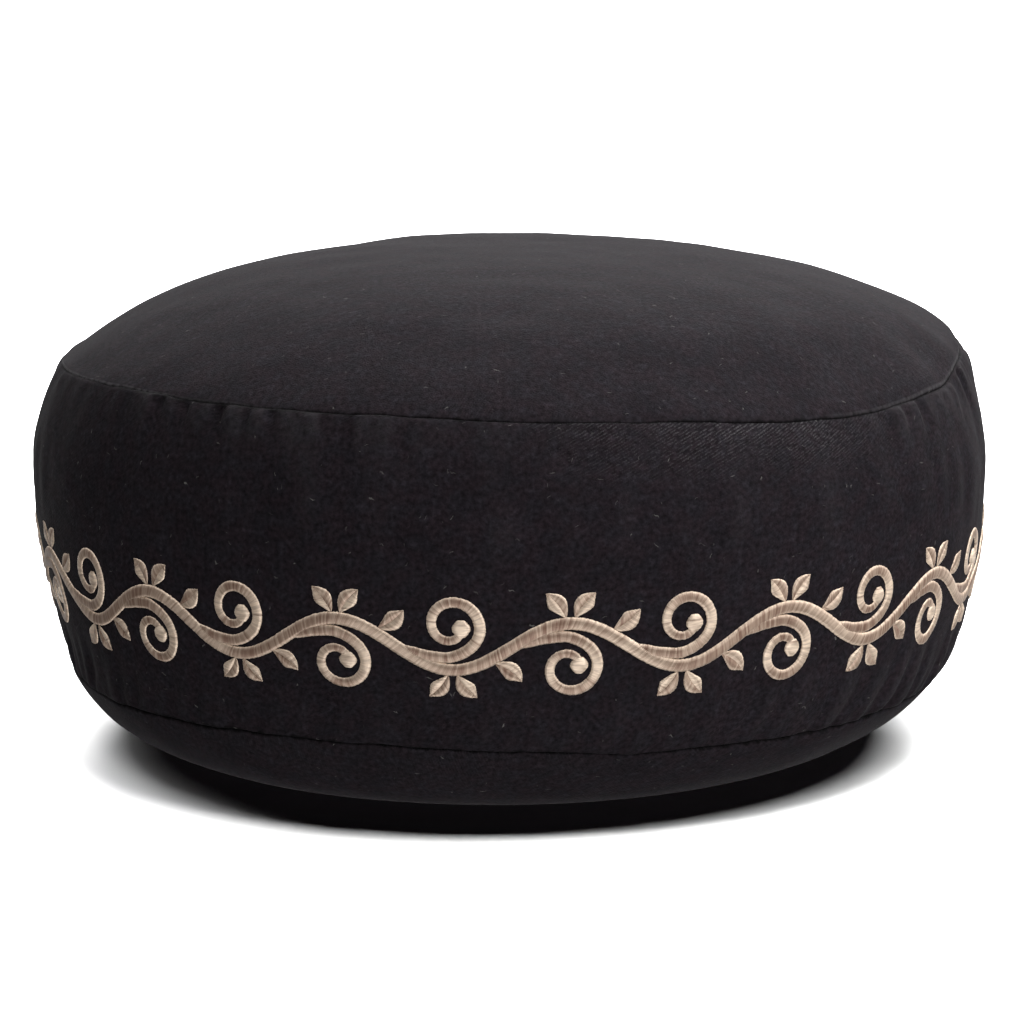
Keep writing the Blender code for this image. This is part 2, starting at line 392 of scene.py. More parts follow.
def round_grid_mesh(name, points, uv, from_seam, wear_and_highlight, hub_row=None):
    """A mesh from rows of points that run round.

    from_seam is each row's distance from its seam, kept times a factor round the cushion that
    sets how far the painted seam shade spreads; the next argument is how pale each point is
    painted, partly worn and partly painted highlight; and hub_row is 0 or -1 where a panel's
    innermost row closes round its middle point.
    """
    rows, columns = points.shape[:2]
    from_seam = (from_seam[:, None] * around(SEAM_SHADE_FALLOFF, azimuths(columns))).ravel()
    wear_and_highlight = wear_and_highlight.ravel()
    vertices = points.reshape(-1, 3).tolist()
    faces = grid_faces(rows, columns).tolist()
    corners = grid_corners(uv)
    if hub_row is not None:
        fan, fan_corners = hub_fan(rows, columns, uv, hub_row)
        faces += fan
        corners = np.concatenate([corners, fan_corners])
        vertices.append(points[hub_row].mean(axis=0).tolist())
        from_seam = np.append(from_seam, from_seam.max())
        wear_and_highlight = np.append(wear_and_highlight, 0.0)
    values = {"from_seam": from_seam, "wear_and_highlight": wear_and_highlight}
    return smooth_mesh(name, vertices, faces, "cloth", corners, values)


def edge_highlight(from_seam):
    """How pale a panel's edge is painted as a highlight, for rows at these distances from its
    seam.
    """
    places, shares = np.array(EDGE_HIGHLIGHT_BAND).T
    band = np.interp(from_seam / MM, places, shares)
    return band[:, None] * around(EDGE_HIGHLIGHT, azimuths(COLUMNS))


def new_object(name, data):
    obj = bpy.data.objects.new(name, data)
    bpy.context.scene.collection.objects.link(obj)
    return obj


def new_piece(name, mesh, material):
    mesh.materials.append(material)
    return new_object(name, mesh)


# The side strip

TOP_GATHER_STRENGTH = (
    # azimuth_deg, share
    (-90, 0.1), (-58, 0.1), (-42, 1.0), (-24, 1.0), (-10, 0.5), (4, 0.3), (34, 0.25),
    (50, 0.9), (74, 1.0), (100, 0.7), (180, 0.8),
)
BASE_GATHER_STRENGTH = (
    # azimuth_deg, share
    (-80, 0.8), (-56, 0.6), (-36, 0.3), (20, 0.25), (34, 0.7), (48, 1.0), (84, 1.0),
    (120, 0.6), (180, 0.7),
)
DEEP_TROUGHS = (
    # azimuth_deg, depth_mm, length_mm
    (-45.5, 1.0, 8), (-41.0, 1.2, 10), (-36.0, 1.7, 13), (-32.0, 1.2, 9), (-28.5, 1.4, 10),
    (-25.2, 1.0, 8), (-22.0, 1.3, 9), (75.0, 1.6, 22),
)

# The strip as cloth. Beside its seams it is cut too long for them, by these shares of the
# seam's length at a gather strength of 1, and between the seams the filling keeps it taut.
TOP_FULLNESS = 0.020
BASE_FULLNESS = 0.055
TOP_FULL_REACH = 0.012
BASE_FULL_REACH = 0.030
TAUTNESS = 0.012
BASE_SHEAR = 0.0084
SHEAR_START = 0.024
SHEAR_REACH = 0.050
CUT_UNEVENNESS = 0.0005
CUT_EDGE = 0.004

# Layers of noise, with height, cell and seed
FULLNESS_NOISE = ((0.5, 0.011, 3), (0.35, 0.006, 9))
CUT_NOISE = ((1.0, 0.009, 21), (0.6, 0.005, 22))

# The simulation, at a scale that suits Blender's cloth
SIM_COLUMNS = 480
SIM_ROWS = 48
SIM_SCALE = 10.0
SEWN_BY_FRAME = 4
SETTLED_BY_FRAME = 10

# The folds kept from it: waves between these lengths, fading out by half and by twice as long
FOLD_LENGTHS_MM = (7.5, 40.0)
GATHER_LIMIT = 0.0026
FOLD_SLANT = 0.36
FOLD_SHARE = 0.5
FOLD_REACH = 0.060


def strip_outline():
    heights = np.linspace(BASE_SEAM_HEIGHT, TOP_SEAM_HEIGHT, OUTLINE_POINTS)
    return np.stack([band_radius(heights), heights], axis=1)


def cut_strip(azimuth, radius, height, from_base, from_top):
    """The strip before it is sewn in: too long beside its seams, and skewed at its base."""
    at_top = around(TOP_GATHER_STRENGTH, azimuth) * fade(from_top, TOP_FULL_REACH)
    at_base = around(BASE_GATHER_STRENGTH, azimuth) * fade(from_base, BASE_FULL_REACH)
    turn = np.radians(azimuth) * RADIUS
    uneven = 1 + layered_noise(turn, 0 * turn, FULLNESS_NOISE)
    fullness = (TOP_FULLNESS * at_top + BASE_FULLNESS * at_base) * uneven
    between = (1 - fade(from_top, TOP_FULL_REACH)) * (1 - fade(from_base, BASE_FULL_REACH))
    clear_of_seams = np.clip(np.minimum(from_base, from_top) / CUT_EDGE, 0, 1)
    bumps = CUT_UNEVENNESS * layered_noise(turn, from_base, CUT_NOISE) * clear_of_seams
    skew = BASE_SHEAR / RADIUS * around(BASE_GATHER_STRENGTH, azimuth)
    skew = skew * np.clip(from_base / SHEAR_START, 0, 1) * fade(from_base, SHEAR_REACH)
    cut = settled(azimuth - np.degrees(skew), radius, height)
    cut[..., :2] *= (1 + fullness - TAUTNESS * between + bumps / RADIUS)[..., None]
    return cut


def simulated(cut, sewn):
    """The strip after Blender's cloth simulation has sewn it from its cut shape and filled it."""
    rows, columns = cut.shape[:2]
    vertices = (cut.reshape(-1, 3) * SIM_SCALE).tolist()
    mesh = bpy.data.meshes.new("strip_cloth")
    mesh.from_pydata(vertices, [], grid_faces(rows, columns).tolist())
    piece = new_object("strip_cloth", mesh)
    piece.shape_key_add(name="cut")
    key = piece.shape_key_add(name="sewn")
    key.data.foreach_set("co", (sewn.reshape(-1, 3) * SIM_SCALE).astype(np.float32).ravel())
    for value, at in ((0.0, 1), (1.0, SEWN_BY_FRAME)):
        key.value = value
        key.keyframe_insert("value", frame=at)
    seams = piece.vertex_groups.new(name="seams")
    sewn_points = [*range(columns), *range((rows - 1) * columns, rows * columns)]
    seams.add(sewn_points, 1.0, "REPLACE")
    stiffen(piece.modifiers.new("cloth", "CLOTH"))
    for at in range(1, SETTLED_BY_FRAME + 1):
        bpy.context.scene.frame_set(at)
    settled_mesh = piece.evaluated_get(bpy.context.evaluated_depsgraph_get()).data
    points = np.empty(rows * columns * 3, dtype=np.float32)
    settled_mesh.vertices.foreach_get("co", points)
    bpy.context.scene.frame_set(1)
    bpy.data.objects.remove(piece)
    bpy.data.meshes.remove(mesh)
    return points.reshape(rows, columns, 3).astype(float) / SIM_SCALE


def stiffen(cloth):
    """Set a cloth modifier to heavy cotton twill, held at its seams and pressed from inside."""
    settings = cloth.settings
    settings.vertex_group_mass = "seams"
    settings.quality = 6
    settings.mass = 0.1
    settings.tension_stiffness = 60
    settings.compression_stiffness = 60
    settings.shear_stiffness = 8
    settings.bending_stiffness = 45
    settings.tension_damping = 15
    settings.compression_damping = 15
    settings.shear_damping = 10
    settings.bending_damping = 0.5
    settings.air_damping = 5
    settings.use_pressure = True
    settings.uniform_pressure_force = 16
    settings.effector_weights.gravity = 0
    cloth.collision_settings.use_collision = False


def folds(proud, sim_v):
    """The folds among what the simulated cloth does, slanted and slighter near the base."""
    waves = np.fft.rfft(proud, axis=1)
    number = np.arange(waves.shape[1])
    length_mm = GIRTH / MM / np.maximum(number, 1)
    short, long = FOLD_LENGTHS_MM
    kept = np.clip(length_mm / short - 0.5, 0, 1) * np.clip(2 - length_mm / long, 0, 1)
    near_base = fade(sim_v, FOLD_REACH)[:, None]
    lean = FOLD_SLANT / RADIUS * sim_v[:, None] * near_base
    leant = np.exp(-1j * lean * number) * (1 - (1 - FOLD_SHARE) * near_base)
    return np.fft.irfft(waves * kept * leant, n=COLUMNS, axis=1) * (COLUMNS / SIM_COLUMNS)


def gathers(v):
    """How far the simulated cloth stands proud at each of the strip's rows and columns."""
    outline = strip_outline()
    sim_v = np.linspace(0, reached(outline)[-1], SIM_ROWS)
    azimuth, radius, height = turned_grid(outline, sim_v, SIM_COLUMNS)
    from_base = sim_v[:, None]
    sewn = settled(azimuth, radius, height)
    cut = cut_strip(azimuth, radius, height, from_base, sim_v[-1] - from_base)
    proud = ((simulated(cut, sewn) - sewn) * grid_normals(sewn)).sum(axis=2)
    proud = smooth_curve(sim_v, folds(proud, sim_v), v)
    return GATHER_LIMIT * np.tanh(proud / GATHER_LIMIT)


def trough_depth(azimuth, radius, from_seam, trough):
    """How far one deep gather draws the cloth in, with the cloth it crowds up beside it."""
    place, depth_mm, length_mm = trough
    length = length_mm * MM
    across = np.radians(turn_between(azimuth, place)) * radius
    spread = TROUGH_HALF_WIDTH * (1 + TROUGH_FLARE * from_seam / length)
    drawn_in = (1 + BANK_SHARE) * bell(across, spread)
    drawn_in = drawn_in - BANK_SHARE * bell(across, BANK_SPREAD * spread)
    clear_of_seam = 1 - bell(from_seam, PULL_REACH / 2)
    return depth_mm * MM * drawn_in * fade(from_seam, length) * clear_of_seam


def closing_depth(azimuth, radius):
    """How deep the cloth lies at and beside the seam where the strip's ends meet."""
    across = np.radians(turn_between(azimuth, 180)) * radius
    groove = CLOSING_DEPTH * np.exp(-np.abs(across) / CLOSING_WIDTH)
    return groove + CLOSING_PULL_DEPTH * bell(across, CLOSING_PULL_REACH)


def pucker_depth(azimuth, from_base):
    """How deep the small puckers beside the base seam lie."""
    puckers = np.clip(noise_round(azimuth, *PUCKER_NOISE), 0, 1)
    puckers = puckers * around(BASE_GATHER_STRENGTH, azimuth)
    return PUCKER_DEPTH * puckers * fade(from_base, PUCKER_REACH)


def puff_height(azimuth, from_top):
    """How proud the small puffs under the top seam stand."""
    puffs = np.clip(noise_round(azimuth, *PUFF_NOISE) + PUFF_BIAS, 0, 1)
    puffs = puffs * around(TOP_GATHER_STRENGTH, azimuth)
    return PUFF_HEIGHT * puffs * from_top / PUFF_REACH * np.exp(1 - from_top / PUFF_REACH)


def strip_grid():
    """The side strip's points, rows from the base seam to the top seam, its v rows, and how pale
    each point is painted: partly worn and partly painted highlight on its fold crests.
    """
    outline = strip_outline()
    v = edge_rows(reached(outline)[-1], STRIP_SPACING)
    azimuth, radius, height = turned_grid(outline, v, COLUMNS)
    from_base = v[:, None]
    from_top = v[-1] - from_base

    depth = -gathers(v)
    for trough in DEEP_TROUGHS:
        depth += trough_depth(azimuth, radius, from_top, trough)
    depth += closing_depth(azimuth, radius)
    depth += pucker_depth(azimuth, from_base)
    depth -= puff_height(azimuth, from_top)
    # Fold crests painted paler: partly worn, partly painted highlight
    wear_and_highlight = CREST_WEAR_AND_HIGHLIGHT * np.clip(-depth / CREST_HEIGHT, 0, 1)

    points = settled(azimuth, radius, height)
    unevenness = layered_noise(np.radians(azimuth) * RADIUS, from_base, STRIP_UNEVENNESS)
    inward = depth - unevenness + rolled_in(from_base) + rolled_in(from_top)
    points = points - grid_normals(points) * inward[..., None]
    points[..., 2] += seam_wander(azimuth, from_top) + seam_wander(azimuth, from_base)
    return points, v, wear_and_highlight


def strip_uv(v):
    u = np.linspace(0, GIRTH, COLUMNS + 1)
    return np.stack(np.meshgrid(u, v), axis=-1)


# The two round panels

def panel_grid(outline, top):
    """A round panel from its middle to its seam: its points, its flat pattern, and how far
    each of its rows lies from the seam."""
    reach = reached(outline)[-1]
    rows = edge_rows(reach, PANEL_SPACING)[len(EDGE_STEPS):]
    azimuth, radius, height = turned_grid(outline, rows, COLUMNS)
    from_seam = reach - rows[:, None]
    turn = np.radians(azimuth)
    bumps = layered_noise(radius * np.sin(turn), radius * np.cos(turn), PANEL_UNEVENNESS)
    bumps = bumps if top else bumps * np.clip(height / FLAT_BASE_HEIGHT, 0, 1)

    points = settled(azimuth, radius, height)
    normals = grid_normals(points) * (-1 if top else 1)
    points = points + normals * (bumps - rolled_in(from_seam))[..., None]
    points[..., 2] += seam_wander(azimuth, from_seam)
    turn = np.radians(np.linspace(-180, 180, COLUMNS + 1))
    flat = np.stack([rows[:, None] * np.sin(turn), -rows[:, None] * np.cos(turn)], axis=-1)
    return points, flat, reach - rows


def panel_outline(seam_radius, height_at):
    """A round panel's outline, from its middle to its seam."""
    radii = np.linspace(0, seam_radius, OUTLINE_POINTS)
    return np.stack([radii, height_at(radii)], axis=1)


# The embroidery: a running scroll of satin stitches round the lower half of the strip

EMBROIDERY_SEED = 41
SCROLL_REPEATS = 14
SCROLL_LENGTH = GIRTH / SCROLL_REPEATS
SCROLL_MIDDLE = 0.0385
STEM_SWING = 0.0078
STEM_WIDTH = 0.0043
STEM_SLANT = 0.35
STEM_POINTS = 120
TENDRIL_POINTS = 200
TENDRIL_WIDTHS = (0.0012, 0.0038, 0.0038, 0.0038, 0.0037, 0.0035, 0.0033, 0.0030, 0.0026)
HOLLOW_DROP = 0.0066
BUD_RADIUS = 0.0030
BUD_SPAN = (0.12, 0.88)
BUD_POINTS = 25
TENDRIL_TURNS = (
    # angle_deg, radius_mm: round the middle of a hollow of the stem
    (167, 21.0), (158, 18.6), (148, 15.8), (130, 12.6), (90, 9.9), (0, 8.9), (-90, 8.0),
    (-180, 6.2), (-270, 4.4), (-350, 3.1),
)
LEAVES = (
    # along_mm, up_mm, heading_deg, length_mm, half_width_mm, bend: from a crest of the stem
    (-1.3, 1.5, 128, 10.5, 3.1, 0.25),
    (1.3, 1.5, 52, 10.5, 3.1, -0.25),
    (13.2, -2.6, 36, 11.0, 3.2, 0.30),
)

# One satin stitch: its pitch, how high a row of them stands, how uneven they are, and the shade
# painted on it
THREAD_PITCH = 0.00058
SATIN_HEIGHT = 0.00075
THREAD_RIDGE = 0.00007
SATIN_LIFT = (0.35, 1.1)
DOME_POWER = 5
RIDGE_POWER = 4
BURIED = 0.0003
# Painted shade on satin: a random depth for each pair of threads, less where they run along the
# strip, in place of satin's sheen across its threads
SATIN_SHADE = (0.58, 0.96)
SATIN_SHADE_ALONG = 0.2
SATIN_SHADE_POWER = 1.5
PARTED_SHARE = 0.045
PARTED_TONE = 0.5
# Painted shade in the groove between two threads
GROOVE_SHADE = 0.05
EDGE_JITTER = 0.00011
ACROSS = np.array([-1.0, -0.95, -0.80, -0.45, 0.45, 0.80, 0.95, 1.0])

# Half a leaf, from its vein out to its edge
LEAF_ACROSS = np.array([0.0, 0.06, 0.22, 0.70, 0.92, 1.0])
LEAF_TAPER = 0.8
LEAF_LEAN = 0.8
LEAF_HEIGHT = 0.85 * SATIN_HEIGHT
LEAF_LIFT = (0.3, 1.0)
LEAF_DOME_POWER = 2.2
LEAF_LEAST_WIDTH = 0.00018
VEIN_HEIGHT = 0.00005


def resampled(path, spacing):
    """A path's points at even distances, with the tangent at each."""
    length = reached(path)[-1]
    count = max(int(length / spacing), 4)
    points = along(path, np.linspace(0, length, count))
    tangents = np.gradient(points, axis=0)
    return points, tangents / np.linalg.norm(tangents, axis=1, keepdims=True)


def ridged(count):
    """1 on the back of each thread and -1 between two threads."""
    return np.where(np.arange(count) % 2 == 0, -1.0, 1.0)


def thread_tones_and_shade(directions, draws, depth):
    """How light each thread is, at random from pair to pair, with painted shade and sheen:
    satin that runs up the strip is painted darker but for its edges, and satin that runs
    along it is left pale, as if it shone. Now and then two threads part."""
    count = len(directions)
    upright = np.abs(directions[:, 1]) / np.linalg.norm(directions, axis=1)
    dark = np.repeat(draws.uniform(*SATIN_SHADE, count // 2 + 1), 2)[:count]
    dark = (dark * (SATIN_SHADE_ALONG + (1 - SATIN_SHADE_ALONG) * upright**SATIN_SHADE_POWER))[:, None]
    parted = np.repeat(draws.random(count // 2 + 1) < PARTED_SHARE, 2)[:count, None]
    return (1 - dark * depth) * np.where(parted, PARTED_TONE, 1.0)


def stitched(points, heights, tones):
    """One patch of satin, with both its ends closed down into the cloth."""
    ends = np.full((1, heights.shape[1]), -BURIED)
    points = np.concatenate([points[:1], points, points[-1:]])
    heights = np.concatenate([ends, heights, ends])
    tones = np.concatenate([tones[:1], tones, tones[-1:]])
    return points, heights, tones


def satin_row(path, widths, draws, slant=0.0):
    """Satin along a path, its threads square to it or slanted."""
    points, tangents = resampled(path, THREAD_PITCH / 2)
    count = len(points)
    normals = np.stack([-tangents[:, 1], tangents[:, 0]], axis=1)
    ridge = ridged(count)[:, None]
    half = np.interp(np.linspace(0, 1, count), np.linspace(0, 1, len(widths)), widths) / 2
    jitter = EDGE_JITTER * draws.uniform(-1, 1, (count, 1)) * ACROSS * ridge
    reach = half[:, None] * ACROSS + jitter
    place = points[:, None] + normals[:, None] * reach[..., None]
    place = place + tangents[:, None] * (slant * reach)[..., None]
    dome = 1 - np.abs(ACROSS) ** DOME_POWER
    lift = SATIN_HEIGHT * np.clip(half / (STEM_WIDTH / 2), *SATIN_LIFT)[:, None]
    heights = lift * dome + THREAD_RIDGE * ridge * (1 - ACROSS**RIDGE_POWER)
    heights[:, [0, -1]] = -BURIED
    # Painted shade: darker in the middle of a row and in the grooves between threads
    tones = thread_tones_and_shade(normals + slant * tangents, draws, dome) + GROOVE_SHADE * (ridge - 1)
    return stitched(place, heights, tones)


def bud(centre, heading, draws):
    """A small round of satin at a tendril's end."""
    ahead = BUD_RADIUS * np.array([math.cos(heading), math.sin(heading)])
    first, last = BUD_SPAN
    turn = np.linspace(first * math.pi, last * math.pi, BUD_POINTS)
    path = centre - np.cos(turn)[:, None] * ahead
    return satin_row(path, 2 * BUD_RADIUS * np.sin(turn), draws)


def half_leaf(root, heading, size, bend, side, draws):
    """One side of a leaf: slanted threads from its vein out to its edge."""
    length, half_width = size
    count = int(length / THREAD_PITCH) * 2
    share = np.linspace(0.0, 1.0, count)
    turn = heading + bend * (share - 0.5) * 2
    steps = np.stack([np.cos(turn), np.sin(turn)], axis=1) * (length / count)
    vein = root + np.cumsum(steps, axis=0)
    ahead = steps / np.linalg.norm(steps, axis=1, keepdims=True)
    out = np.stack([-ahead[:, 1], ahead[:, 0]], axis=1) * side
    ridge = ridged(count)[:, None]
    width = half_width * np.sin(math.pi * share**LEAF_TAPER) ** LEAF_TAPER
    width = width + EDGE_JITTER * draws.uniform(-1, 1, count) * ridge[:, 0]
    width = np.maximum(width, LEAF_LEAST_WIDTH)
    lean = LEAF_LEAN * width * (1 - share)
    across = LEAF_ACROSS[None, :, None]
    place = vein[:, None] + out[:, None] * (width[:, None, None] * across)
    place = place + ahead[:, None] * (lean[:, None, None] * across)
    dome = 1 - np.abs(2 * LEAF_ACROSS - 1) ** LEAF_DOME_POWER
    dome = dome * np.clip(width / half_width, *LEAF_LIFT)[:, None]
    heights = LEAF_HEIGHT * dome + THREAD_RIDGE * ridge * (dome > 0)
    heights[:, 0] = VEIN_HEIGHT
    heights[:, -1] = -BURIED
    # Painted shade: darker towards the vein than at the edge, and in the grooves between threads
    tones = thread_tones_and_shade(place[:, -1] - place[:, 0], draws, 1 - LEAF_ACROSS**DOME_POWER)
    tones = tones + GROOVE_SHADE * (ridge - 1)
    if side < 0:
        place, heights, tones = place[:, ::-1], heights[:, ::-1], tones[:, ::-1]
    return stitched(place, heights, tones)


def stem_patches(draws):
    """The stem, one patch for each repeat."""
    patches = []
    for repeat in range(SCROLL_REPEATS):
        u = SCROLL_LENGTH * (repeat + np.linspace(0, 1, STEM_POINTS))
        v = SCROLL_MIDDLE + STEM_SWING * np.sin(2 * math.pi * u / SCROLL_LENGTH)
        patches.append(satin_row(np.stack([u, v], axis=1), [STEM_WIDTH], draws, STEM_SLANT))
    return patches


def hollows():
    """The stem's crests and troughs: (u of the crest, 1 for a crest and -1 for a trough)."""
    for half in range(2 * SCROLL_REPEATS):
        yield SCROLL_LENGTH * (half / 2 + 0.25), 1 if half % 2 == 0 else -1


def tendril_patches(draws):
    """A spiral tendril in each hollow, with the bud it ends in."""
    patches = []
    angles, radii = np.array(TENDRIL_TURNS, dtype=float).T
    turn = np.linspace(angles[0], angles[-1], TENDRIL_POINTS)
    radius = smooth_curve(-angles, radii, -turn) * MM
    for crest, side in hollows():
        middle = np.array([crest, SCROLL_MIDDLE - side * HOLLOW_DROP])
        spiral = np.stack([np.cos(np.radians(turn)), side * np.sin(np.radians(turn))], axis=1)
        path = middle + spiral * radius[:, None]
        patches.append(satin_row(path, TENDRIL_WIDTHS, draws))
        sideways, up = path[-1] - path[-4]
        patches.append(bud(path[-1], math.atan2(up, sideways), draws))
    return patches


def leaf_patches(draws):
    """The leaves beside each crest and trough, each in two halves."""
    patches = []
    for crest, side in hollows():
        for along_mm, up_mm, heading_deg, length_mm, half_width_mm, bend in LEAVES:
            up = SCROLL_MIDDLE + side * (STEM_SWING + up_mm * MM)
            root = np.array([crest + along_mm * MM, up])
            heading = side * math.radians(heading_deg)
            size = (length_mm * MM, half_width_mm * MM)
            for half in (-1, 1):
                patches.append(half_leaf(root, heading, size, side * bend, half, draws))
    return patches


def on_strip(strip, normals, v_rows, points, heights):
    """Places in space of points (u, v) of the strip's cloth, raised by their heights."""
    column = np.mod(points[..., 0] / GIRTH, 1.0) * COLUMNS
    row = np.interp(points[..., 1], v_rows, np.arange(len(v_rows)))
    c0, r0 = np.floor(column).astype(int), np.floor(row).astype(int)
    across, up = (column - c0)[..., None], (row - r0)[..., None]
    corners = ((0, 0, (1 - across) * (1 - up)), (0, 1, across * (1 - up)))
    corners += ((1, 0, (1 - across) * up), (1, 1, across * up))
    place = sum(share * strip[r0 + i, (c0 + j) % COLUMNS] for i, j, share in corners)
    normal = sum(share * normals[r0 + i, (c0 + j) % COLUMNS] for i, j, share in corners)
    return place + normal * heights[..., None]


def patches_mesh(name, patches, strip, v_rows):
    """One mesh of many satin patches, with how light each thread is, painted shade included, and
    its own coordinates.
    """
    normals = grid_normals(strip)
    vertices, faces, tones, stitch_uv = [], [], [], []
    first = 0
    for points, heights, tone_and_shade in patches:
        rows, columns = heights.shape
        vertices.append(on_strip(strip, normals, v_rows, points, heights).reshape(-1, 3))
        row, column = np.meshgrid(np.arange(rows - 1), np.arange(columns - 1), indexing="ij")
        corner = first + row * columns + column
        quads = np.stack([corner, corner + columns, corner + columns + 1, corner + 1], axis=-1)
        faces.append(quads.reshape(-1, 4))
        tones.append(tone_and_shade.reshape(-1))
        # Each patch starts elsewhere along its stitches' coordinates, so that no two look alike
        along_row = np.arange(rows)[:, None] * THREAD_PITCH / 2 + first * MM
        width = np.linalg.norm(points - points[:, :1], axis=2)
        stitch = np.stack([np.broadcast_to(along_row, width.shape), width], axis=-1)
        stitch_uv.append(stitch.reshape(-1, 2))
        first += rows * columns
    faces = np.concatenate(faces)
    corners = np.concatenate(stitch_uv)[faces.ravel()]
    values = {"tone_and_shade": np.concatenate(tones)}
    vertices = np.concatenate(vertices).tolist()
    return smooth_mesh(name, vertices, faces.tolist(), "stitch", corners, values)


# Materials

class Nodes:
    """A new material, with short calls that add its nodes. Inputs are sockets or plain values."""

    def __init__(self, name):
        self.material = bpy.data.materials.new(name)
        self.material.use_nodes = True
        self.tree = self.material.node_tree

    def feed(self, node, inputs):
        for key, value in inputs.items():
            if isinstance(value, (int, float, tuple)):
                node.inputs[key].default_value = value
            else:
                self.tree.links.new(value, node.inputs[key])

    def add(self, kind, inputs, **settings):
        node = self.tree.nodes.new("ShaderNode" + kind)
        for key, value in settings.items():
            setattr(node, key, value)
        self.feed(node, inputs)
        return node

    def math(self, operation, *values):
        return self.add("Math", dict(enumerate(values)), operation=operation).outputs[0]

    def product(self, first, *others):
        for other in others:
            first = self.math("MULTIPLY", first, other)
        return first

    def attribute(self, name):
        return self.add("Attribute", {}, attribute_name=name).outputs["Fac"]

    def uv(self, name):
        return self.add("UVMap", {}, uv_map=name).outputs["UV"]

    def axis(self, vector, letter):
        return self.add("SeparateXYZ", {"Vector": vector}).outputs[letter]

    def mapped(self, vector, turn=0.0, scale=(1.0, 1.0, 1.0)):
        """Coordinates turned about Z by so many radians, then stretched."""
        turned = self.add("Mapping", {"Vector": vector, "Rotation": (0.0, 0.0, turn)})
        return self.add("Mapping", {"Vector": turned.outputs[0], "Scale": scale}).outputs[0]

    def noise(self, vector, scale, detail=2.0, output="Fac"):
        inputs = {"Vector": vector, "Scale": scale, "Detail": detail}
        return self.add("TexNoise", inputs).outputs[output]

    def grain(self, vector, scale, detail, factor, offset):
        """Noise times a factor, plus an offset."""
        return self.math("MULTIPLY_ADD", self.noise(vector, scale, detail), factor, offset)

    def patchy(self, vector, scale, detail, stops):
        """Noise put through a ramp."""
        return self.ramp(self.noise(vector, scale, detail), stops)

    def mix(self, factor, first, second, blend="MIX"):
        """A mix of two colours. Sockets 0, 6 and 7 are its factor and the two colours."""
        inputs = {0: factor, 6: first, 7: second}
        return self.add("Mix", inputs, data_type="RGBA", blend_type=blend).outputs[2]

    def ramp(self, factor, stops):
        node = self.add("ValToRGB", {"Fac": factor})
        elements = node.color_ramp.elements
        while len(elements) < len(stops):
            elements.new(0.5)
        for element, (position, value) in zip(elements, stops):
            element.position = position
            element.color = (value, value, value, 1.0)
        return node.outputs["Color"]

    def bump(self, height, strength, distance):
        inputs = {"Height": height, "Strength": strength, "Distance": distance}
        return self.add("Bump", inputs).outputs["Normal"]

    def finish(self, inputs):
        """Feed the material's own shader, and give the material."""
        self.feed(self.tree.nodes["Principled BSDF"], inputs)
        return self.material


TWILL_PITCH = 0.00094
STRIP_TWILL_DEG = 27.4
PANEL_TWILL_DEG = 62.6
STRIP_RELIEF = 0.3
PANEL_RELIEF = 0.25
PANEL_RIBS_SHOW = 0.10
RIB_HEIGHT = 0.00022
YARN_HEIGHT = 1.2
TWILL_BUMP = 0.7
RIBS_SHOW = 0.72
RIB_STRETCHES = (520.0, 1100.0, 1.0)
STRETCHES_SHOW = ((0.40, 0.05), (0.60, 1.0))
# Painted shade down in a seam, as a ramp over the distance from it
SEAM_PAINTED_SHADE = ((0.0, 0.05), (0.45, 0.25), (1.0, 1.0))
# Where the strip's ribs are painted pale as a sheen under its top seam: round the strip, then up
# it
PAINTED_SHEEN_ROUND = ((0.50, 0.10), (0.55, 1.0), (0.615, 1.0), (0.645, 0.15))
PAINTED_SHEEN_UP = ((0.80, 0.05), (0.92, 0.5), (0.98, 1.0))
WARM_BLACK = (0.0116, 0.0083, 0.0105, 1.0)
COOL_BLACK = (0.0098, 0.0083, 0.0106, 1.0)
# The ribs' pale colour, also used for the painted highlights and sheen
PALE_RIBS_AND_HIGHLIGHT = (0.078, 0.074, 0.078, 1.0)
LINT = (0.10, 0.096, 0.092, 1.0)
CLOTH_FINISH = {
    "Roughness": 0.85,
    "Specular IOR Level": 0.06,
    "Sheen Weight": 0.023,
    "Sheen Roughness": 0.35,
}

# Grains of the cloth, as features to a metre and detail, then a factor and an offset or a ramp
YARN = (1500.0, 3.0)
RIB_WOBBLE = (420.0, 2.0, 3.4, 0.0)
# The next grain breaks up the painted seam shade along the seam
SEAM_SHADE_BREAKUP = (330.0, 1.0, 2.0, -0.85)
DYE = (60.0, 4.0, 0.7, 0.65)
FUZZ = (640.0, 5.0, 2.6, -0.3)
CLUMPS = (300.0, 7.0, ((0.52, 1.0), (0.70, 1.5)))
FLECKS = (2300.0, 2.0, ((0.42, 0.35), (0.66, 2.2)))
NAP = (38.0, 3.0, ((0.35, 0.25), (0.65, 1.0)))
HUES = (150.0, 3.0, ((0.40, 0.0), (0.60, 1.0)))
# Patches that break up the paleness painted on the rolled edge and the fold crests
WEAR_AND_HIGHLIGHT_PATCHES = (420.0, 2.0, ((0.35, 0.35), (0.6, 1.0)))

# Lint: how its fibres bend, how sharp their edges are and how many there are
LINT_BENDS = 600.0
LINT_BEND = (0.0022, 0.0022, 0.0)
LINT_CORE = 0.6
LINT_CHANCE = ((0.40, 0.0), (0.88, 1.0))
LINT_FIBRES = (
    # turn_deg, one fibre's room along and across in mm, its size as a share of that room
    (20, 15.0, 2.8, 0.075), (-65, 13.0, 2.4, 0.070), (75, 11.0, 3.2, 0.062),
    (-15, 14.0, 2.2, 0.060),
)

